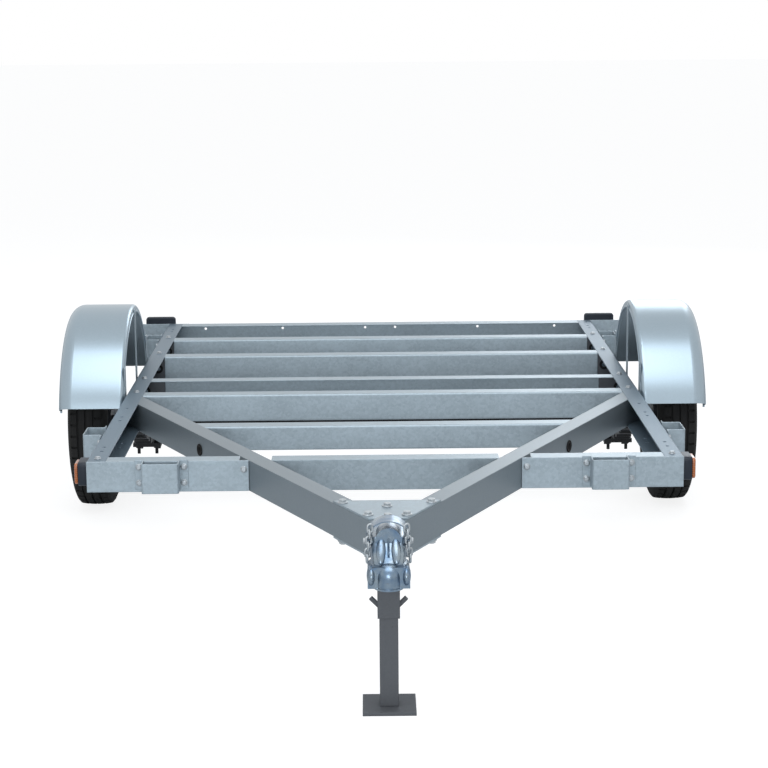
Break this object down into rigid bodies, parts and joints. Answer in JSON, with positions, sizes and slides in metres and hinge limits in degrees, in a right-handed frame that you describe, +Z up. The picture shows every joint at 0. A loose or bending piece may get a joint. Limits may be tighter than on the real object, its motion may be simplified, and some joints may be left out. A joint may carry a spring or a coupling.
{
  "type": "utility trailer",
  "caption": "Single-axle utility trailer frame of bolted galvanised channel, with an A-frame tongue, round fenders, stake pockets and a drop leg.",
  "frame": {"origin": "on the ground under the middle of the trailer's bounding box", "axes": "+X to the right, +Y from the coupler towards the tail, +Z up"},
  "size_m": [1.934, 2.994, 0.6275],
  "materials": {
    "galvanised": "galvanised, fine spangle, satin",
    "tongue_steel": "galvanised, smooth, darker",
    "zinc_plate": "bright zinc plate",
    "leg_steel": "dull galvanised",
    "black_paint": "satin black paint",
    "tyre": "matte rubber",
    "rim": "silver paint",
    "hub": "satin black paint",
    "black_plastic": "moulded, satin",
    "amber_lens": "clear gloss",
    "red_lens": "clear gloss",
    "rubber": "matte"
  },
  "bodies": {
    "chassis": {"side_rail_left": "galvanised", "side_rail_right": "galvanised", "front_rail_left": "galvanised", "front_rail_centre": "galvanised", "front_rail_right": "galvanised", "rear_rail": "galvanised", "cross_member_1": "galvanised", "cross_member_2": "galvanised", "cross_member_3": "galvanised", "cross_member_4": "galvanised", "member_cleats_left": "leg_steel", "member_cleats_right": "leg_steel", "tongue_brace": "galvanised", "tongue_plate_top": "galvanised", "tongue_plate_bottom": "galvanised", "fender_left": "galvanised", "fender_right": "galvanised", "fender_bracket_left": "galvanised", "fender_bracket_right": "galvanised", "stake_pocket_front_left": "galvanised", "stake_pocket_front_right": "galvanised", "stake_pocket_fore_left": "galvanised", "stake_pocket_fore_right": "galvanised", "stake_pocket_aft_left": "galvanised", "stake_pocket_aft_right": "galvanised", "lamp_plate_left": "galvanised", "lamp_plate_right": "galvanised", "tongue_arm_left": "tongue_steel", "tongue_arm_right": "tongue_steel", "tongue_stub": "tongue_steel", "coupler_body": "zinc_plate", "coupler_lever": "zinc_plate", "leg_socket": "leg_steel", "axle_beam": "black_paint", "leaf_spring_left": "black_paint", "leaf_spring_right": "black_paint", "spring_hanger_left": "black_paint", "spring_hanger_right": "black_paint", "axle_clamp_left": "black_paint", "axle_clamp_right": "black_paint", "marker_base_left": "black_plastic", "marker_lens_left": "amber_lens", "lamp_base_left": "black_plastic", "lamp_lens_left": "red_lens", "marker_base_right": "black_plastic", "marker_lens_right": "amber_lens", "lamp_base_right": "black_plastic", "lamp_lens_right": "red_lens", "wiring_grommets": "rubber"},
    "wheel_left": {"tyre_left": "tyre", "rim_left": "rim", "hub_left": "hub"},
    "wheel_right": {"tyre_right": "tyre", "rim_right": "rim", "hub_right": "hub"},
    "leg": {"parking_leg": "leg_steel", "leg_foot": "leg_steel"}
  },
  "joints": [
    {"name": "wheel_left_spin", "type": "hinge", "parent": "chassis", "child": "wheel_left", "pos_m": [-0.897, 0.4965, 0.2665], "axis": [1, 0, 0], "continuous": true},
    {"name": "wheel_right_spin", "type": "hinge", "parent": "chassis", "child": "wheel_right", "pos_m": [0.897, 0.4965, 0.2665], "axis": [1, 0, 0], "continuous": true},
    {"name": "leg_slide", "type": "slide", "parent": "chassis", "child": "leg", "axis": [0, 0, 1], "range_m": [0, 0.1]}
  ]
}
